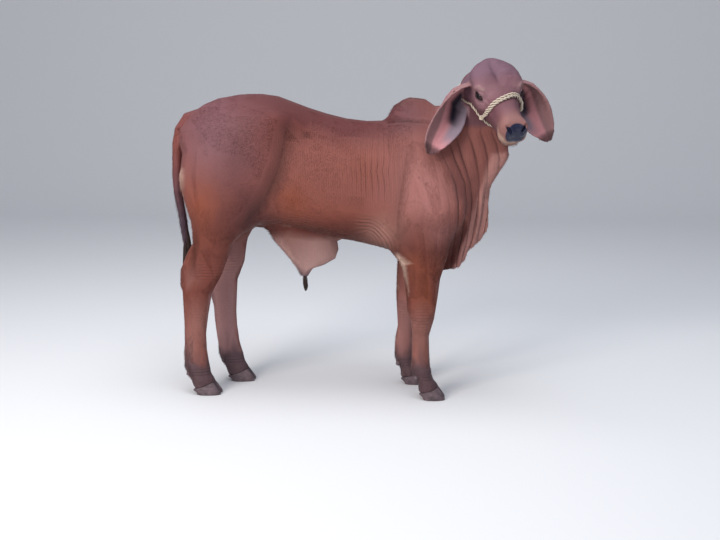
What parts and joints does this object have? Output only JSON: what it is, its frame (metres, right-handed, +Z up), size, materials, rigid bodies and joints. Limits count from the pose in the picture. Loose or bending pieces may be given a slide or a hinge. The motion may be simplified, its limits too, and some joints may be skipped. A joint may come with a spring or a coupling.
{
  "type": "brahman cattle",
  "caption": "Life-size young red Brahman bull standing square, head turned to its right, wearing a rope halter.",
  "frame": {"origin": "centre of the bounding box, on the floor under the soles", "axes": "+X from tail to head, +Y to the animal's left, +Z up"},
  "size_m": [1.6276, 0.5508, 1.4418],
  "materials": {
    "coat": "short red-brown hair",
    "muddy_coat": "short hair with dried mud",
    "pale_skin": "thin pinkish hair over skin",
    "nose_skin": "smooth wet blue-black skin",
    "dark_hair": "long blackish hair",
    "hoof": "dull grey horn with mud",
    "eye": "wet dark brown",
    "rope": "twisted cream cord"
  },
  "bodies": {
    "root": {"dewlap": "coat", "neck": "coat", "hump": "coat", "sheath": "pale_skin", "scrotum": "pale_skin", "hind_right_gaskin": "coat", "hind_right_cannon": "coat", "hind_right_pastern": "muddy_coat", "hind_left_gaskin": "coat", "hind_left_cannon": "coat", "hind_left_pastern": "muddy_coat", "fore_right_forearm": "coat", "fore_right_cannon": "coat", "fore_right_pastern": "muddy_coat", "fore_left_forearm": "coat", "fore_left_cannon": "coat", "fore_left_pastern": "muddy_coat", "torso": "coat", "head": "coat", "nose": "nose_skin", "eye_right": "eye", "eye_left": "eye", "tail": "coat", "tail_switch": "dark_hair", "sheath_tuft": "dark_hair", "hind_right_claw_outer": "hoof", "hind_right_dewclaw_outer": "hoof", "hind_right_claw_inner": "hoof", "hind_right_dewclaw_inner": "hoof", "hind_left_claw_outer": "hoof", "hind_left_dewclaw_outer": "hoof", "hind_left_claw_inner": "hoof", "hind_left_dewclaw_inner": "hoof", "fore_right_claw_outer": "hoof", "fore_right_dewclaw_outer": "hoof", "fore_right_claw_inner": "hoof", "fore_right_dewclaw_inner": "hoof", "fore_left_claw_outer": "hoof", "fore_left_dewclaw_outer": "hoof", "fore_left_claw_inner": "hoof", "fore_left_dewclaw_inner": "hoof", "halter_noseband": "rope", "halter_crownpiece": "rope", "halter_chin_rope": "rope", "ear_right": "coat", "ear_left": "coat"}
  },
  "joints": []
}
